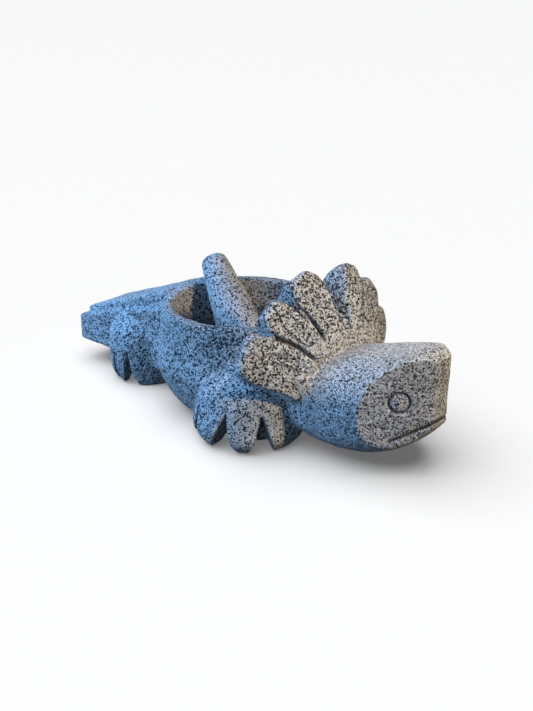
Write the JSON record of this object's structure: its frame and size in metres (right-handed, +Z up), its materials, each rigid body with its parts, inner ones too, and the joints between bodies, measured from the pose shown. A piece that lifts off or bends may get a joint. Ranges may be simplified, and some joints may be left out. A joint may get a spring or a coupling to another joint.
{
  "type": "stone molcajete with pestle",
  "caption": "Carved stone mortar in the shape of an axolotl, with a round bowl in its back and a loose tapered pestle.",
  "frame": {"origin": "centre of the bowl's round foot, on the surface that it stands on", "axes": "+X from the bowl towards the animal's head, +Z up, with the limbs in pairs either side of y = 0"},
  "size_m": [0.491, 0.2375, 0.18],
  "materials": {
    "stone": "rough, porous",
    "pestle_stone": "rough, porous"
  },
  "bodies": {
    "mortar": {"mortar": "stone"},
    "pestle": {"pestle": "pestle_stone"}
  },
  "joints": [
    {"name": "pestle_lift", "type": "slide", "parent": "mortar", "child": "pestle", "axis": [0, 0, 1], "range_m": [0, 0.2]}
  ]
}
